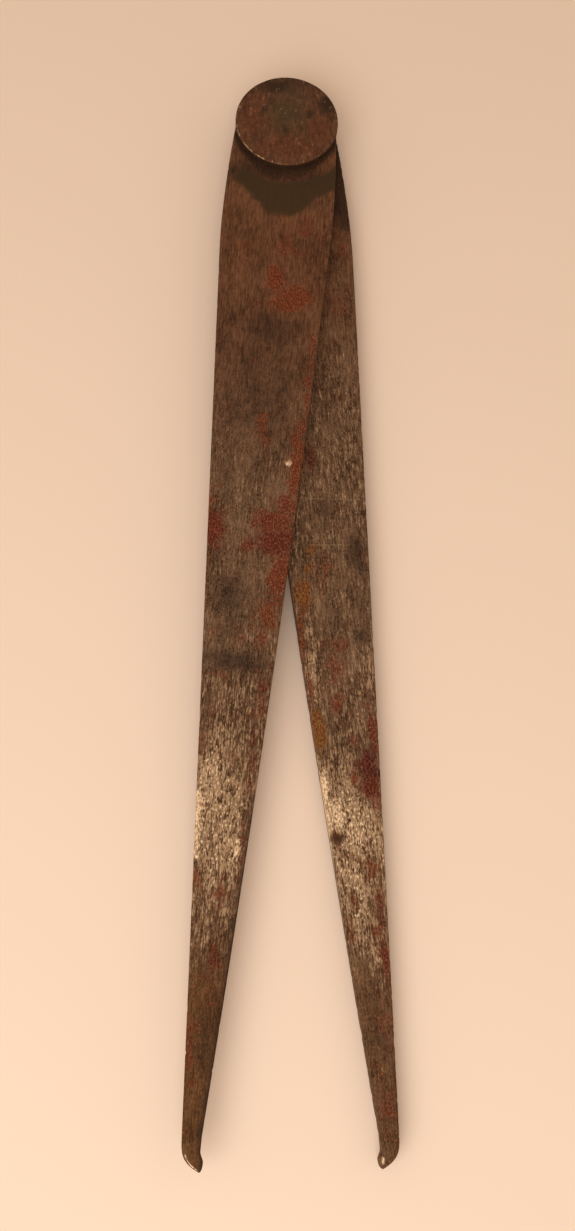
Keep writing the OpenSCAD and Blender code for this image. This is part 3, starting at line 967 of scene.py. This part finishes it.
def leg_material():
    material, tree, shader = start_material("leg_steel")
    place = attribute(tree, "place", "Vector")
    worn = use(tree, grain, {"Place": place})
    greyed, rubs_and_sheen = attribute(tree, "bare"), attribute(tree, "bright")
    grit = sums(tree, "MULTIPLY", sums(tree, "SUBTRACT", worn["Grit"], 0.5),
                sums(tree, "ADD", sums(tree, "MULTIPLY", greyed, 0.52), 0.30))
    weights = {label: worn[label] for label in PATINA_WEIGHTS} | {"Grit": sums(tree, "ADD", grit, 0.5)}
    shades = [blend(tree, greyed, warm, grey) for warm, grey in zip(RED_BROWN, GREY_BROWN)]
    for share, tones in ((ease(tree, rubs_and_sheen, 0.3, 0.6), RUBBED_BROWN), (attribute(tree, "toe"), TOE_BROWN)):
        shades = [blend(tree, share, shade, tone) for shade, tone in zip(shades, tones)]
    brown = use(tree, patina, {"Dark": shades[0], "Light": shades[1], "Contrast": 1.0, **weights})["Color"]
    # Bare steel where the leg is rubbed, which also paints the highlights on edges and tips and the lamp's
    # sheen.
    rubbed_and_sheen = use(tree, bare, {"Place": place, "Amount": rubs_and_sheen,
                               "Flecks": worn["Flecks"], "Streaks": worn["Streaks"]})
    steel = rubbed_and_sheen["Mask"]
    rust = use(tree, rusty, {"Place": place, "Amount": attribute(tree, "rust"),
                             "Tone": attribute(tree, "tone"), "Grit": worn["Grit"]})
    uneven = noise(tree, place, 520.0, 5.0, 0.7)
    through = sums(tree, "SUBTRACT", 1.15, sums(tree, "MULTIPLY", worn["Grit"], 0.45))
    dark = sums(tree, "MULTIPLY", soft_mask(tree, attribute(tree, "dark"), uneven, 0.90), through)
    oil = soft_mask(tree, attribute(tree, "oil"), uneven, 0.92)

    tint = blend(tree, steel, brown, rubbed_and_sheen["Color"])
    cut = ease(tree, sums(tree, "ABSOLUTE", attribute(tree, "scratch")), 0.16, 0.04)
    tint = blend(tree, sums(tree, "MULTIPLY", cut, 0.28), tint, DULL_STEEL)
    # Stains, and painted shade under the disc's rim, on the lower leg's head and along the upper leg's inner
    # edge.
    tint = blend(tree, dark, tint, STAIN_AND_SHADE)
    tint = blend(tree, rust["Mask"], tint, rust["Color"])
    tint = blend(tree, oil, tint, OIL)
    metal, rough = over(tree, steel, ((0.10, 0.55), (0.62, 0.45)))
    metal, rough = over(tree, dark, ((metal, 0.05), (rough, 0.62)))
    metal, rough = over(tree, rust["Mask"], ((metal, 0.0), (rough, 0.80)))
    metal, rough = over(tree, oil, ((metal, 0.0), (rough, 0.50)))

    height = sums(tree, "ADD", sums(tree, "MULTIPLY", worn["Grit"], 0.8), sums(tree, "MULTIPLY", steel, 0.5))
    height = sums(tree, "ADD", height, sums(tree, "MULTIPLY", rust["Height"], rust["Mask"]))
    bump = add(tree, "Bump", {"Height": height, "Distance": RELIEF, "Strength": 0.6})
    fill(tree, shader, {"Base Color": tint, "Metallic": metal, "Roughness": rough,
                        "Normal": bump.outputs["Normal"], "Specular IOR Level": 0.08})
    return material


leg_steel = leg_material()
for leg in (leg_over, leg_under):
    leg.data.materials.append(leg_steel)
print("leg steel nodes:", len(leg_steel.node_tree.nodes))

# %% [markdown]
# ## Disc, rivet and washer metal
# The discs are dull red brown with a grey green cloud in the middle, where the rivet's end
# is hard to tell from the disc. The washers are thin oily brass.


# %% Joint materials
GREY_GREEN = colour(74, 60, 38)


def joint_material(name, dark, light, contrast, metal, rough):
    """One recipe for the steel of the joint, which reads the fields of discs and rivet."""
    material, tree, shader = start_material(name)
    place = attribute(tree, "place", "Vector")
    worn = use(tree, grain, {"Place": place, "Grains per metre": 1900.0})
    weights = {label: worn[label] for label in PATINA_WEIGHTS}
    tint = use(tree, patina, {"Dark": dark, "Light": light, "Contrast": contrast, **weights})["Color"]
    uneven = noise(tree, place, 480.0, 4.0, 0.6)
    rust = use(tree, rusty, {"Place": place, "Amount": attribute(tree, "rust"),
                             "Tone": attribute(tree, "tone"), "Grit": worn["Flecks"]})
    tint = blend(tree, sums(tree, "MULTIPLY", rust["Mask"], 0.30), tint, rust["Color"])
    tint = blend(tree, soft_mask(tree, attribute(tree, "grey"), uneven, 0.60), tint, GREY_GREEN)
    # Stains, and painted shade on the disc's wall and the lower disc.
    tint = blend(tree, soft_mask(tree, attribute(tree, "dark"), uneven, 0.85), tint, STAIN_AND_SHADE)
    # Rubbed steel on the upper disc's rim, with a painted highlight on one stretch.
    shine = use(tree, bare, {"Place": place, "Amount": attribute(tree, "bright"),
                             "Flecks": worn["Flecks"], "Streaks": worn["Grit"]})["Mask"]
    tint = blend(tree, shine, tint, DULL_STEEL)
    metal, rough = over(tree, shine, ((metal, 0.8), (rough, 0.35)))
    bump = add(tree, "Bump", {"Height": worn["Flecks"], "Distance": RELIEF, "Strength": 0.5})
    fill(tree, shader, {"Base Color": tint, "Metallic": metal, "Roughness": rough,
                        "Normal": bump.outputs["Normal"], "Specular IOR Level": 0.08})
    return material


disc_steel = joint_material("disc_steel", colour(66, 42, 27), colour(112, 74, 50), 0.66, 0.1, 0.62)
rivet_steel = joint_material("rivet_steel", colour(62, 42, 27), colour(106, 72, 48), 0.66, 0.15, 0.58)


def washer_material():
    material, tree, shader = start_material("washer_brass")
    worn = use(tree, grain, {"Place": add(tree, "TexCoord", {}).outputs["Object"]})
    weights = {label: worn[label] for label in PATINA_WEIGHTS}
    tint = use(tree, patina, {"Dark": colour(84, 62, 34), "Light": colour(140, 104, 54), **weights})
    fill(tree, shader, {"Base Color": tint["Color"], "Metallic": 0.8, "Roughness": 0.45})
    return material


washer_brass = washer_material()
for piece, material in ((disc_over, disc_steel), (disc_under, disc_steel), (rivet, rivet_steel)):
    piece.data.materials.append(material)
for node in ("lower_washer", "middle_washer", "upper_washer"):
    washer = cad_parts[node]
    washer.data.materials.clear()
    washer.data.materials.append(washer_brass)
print("materials:", sorted(m.name for m in bpy.data.materials))

# %% [markdown]
# ## Floor and light
# The tool lies on a plain pale surface. One soft lamp hangs to the left over the lower half
# of the legs, so its sheen lies there and soft shadows fall to the right of the legs. The
# world gives the rest of the light, and shows its pale colour only to the camera and in
# reflections.

# %% Floor
FLOOR_COLOUR = colour(251, 225, 201)
FLOOR_SIZE = 3.0
floor_mesh = bpy.data.meshes.new("floor")
corners = [(x * FLOOR_SIZE, y * FLOOR_SIZE, 0) for x, y in ((-1, -1), (1, -1), (1, 1), (-1, 1))]
floor_mesh.from_pydata(corners, [], [(0, 1, 2, 3)])
floor = bpy.data.objects.new("floor", floor_mesh)
bpy.context.scene.collection.objects.link(floor)
floor_material, tree, shader = start_material("floor")
fill(tree, shader, {"Base Color": FLOOR_COLOUR, "Roughness": 0.9, "Specular IOR Level": 0.1})
floor_mesh.materials.append(floor_material)

# %% Lamp and world
LAMP_PLACE = (-0.13, -0.40, 0.36)
LAMP_AT = (0.0, -0.25)
LAMP_SIZE = 0.46
LAMP_POWER = 1.36
WORLD_LIGHT = 0.555
WORLD_SEEN = 0.92
lamp = bpy.data.objects.new("window_light", bpy.data.lights.new("window_light", "AREA"))
lamp.data.shape = "DISK"
lamp.data.size = LAMP_SIZE
lamp.data.energy = LAMP_POWER
lamp.location = LAMP_PLACE
lamp.rotation_euler = (-math.atan2(LAMP_PLACE[1] - LAMP_AT[1], LAMP_PLACE[2]),
                       math.atan2(LAMP_PLACE[0] - LAMP_AT[0], LAMP_PLACE[2]), 0)
bpy.context.scene.collection.objects.link(lamp)

world = bpy.data.worlds.new("studio")
bpy.context.scene.world = world
world.use_nodes = True
tree = world.node_tree
tree.nodes.clear()
path = tree.nodes.new("ShaderNodeLightPath").outputs
seen = sums(tree, "MAXIMUM", path["Is Camera Ray"], path["Is Glossy Ray"])
seen = sums(tree, "MAXIMUM", seen, path["Is Transmission Ray"])
strength = add(tree, "Mix", {0: seen, 2: WORLD_LIGHT, 3: WORLD_SEEN}).outputs[0]
sky = add(tree, "Background", {"Color": colour(255, 235, 217), "Strength": strength})
tree.links.new(sky.outputs[0], tree.nodes.new("ShaderNodeOutputWorld").inputs["Surface"])
print("lamp height in mm:", round(LAMP_PLACE[2] / MM))
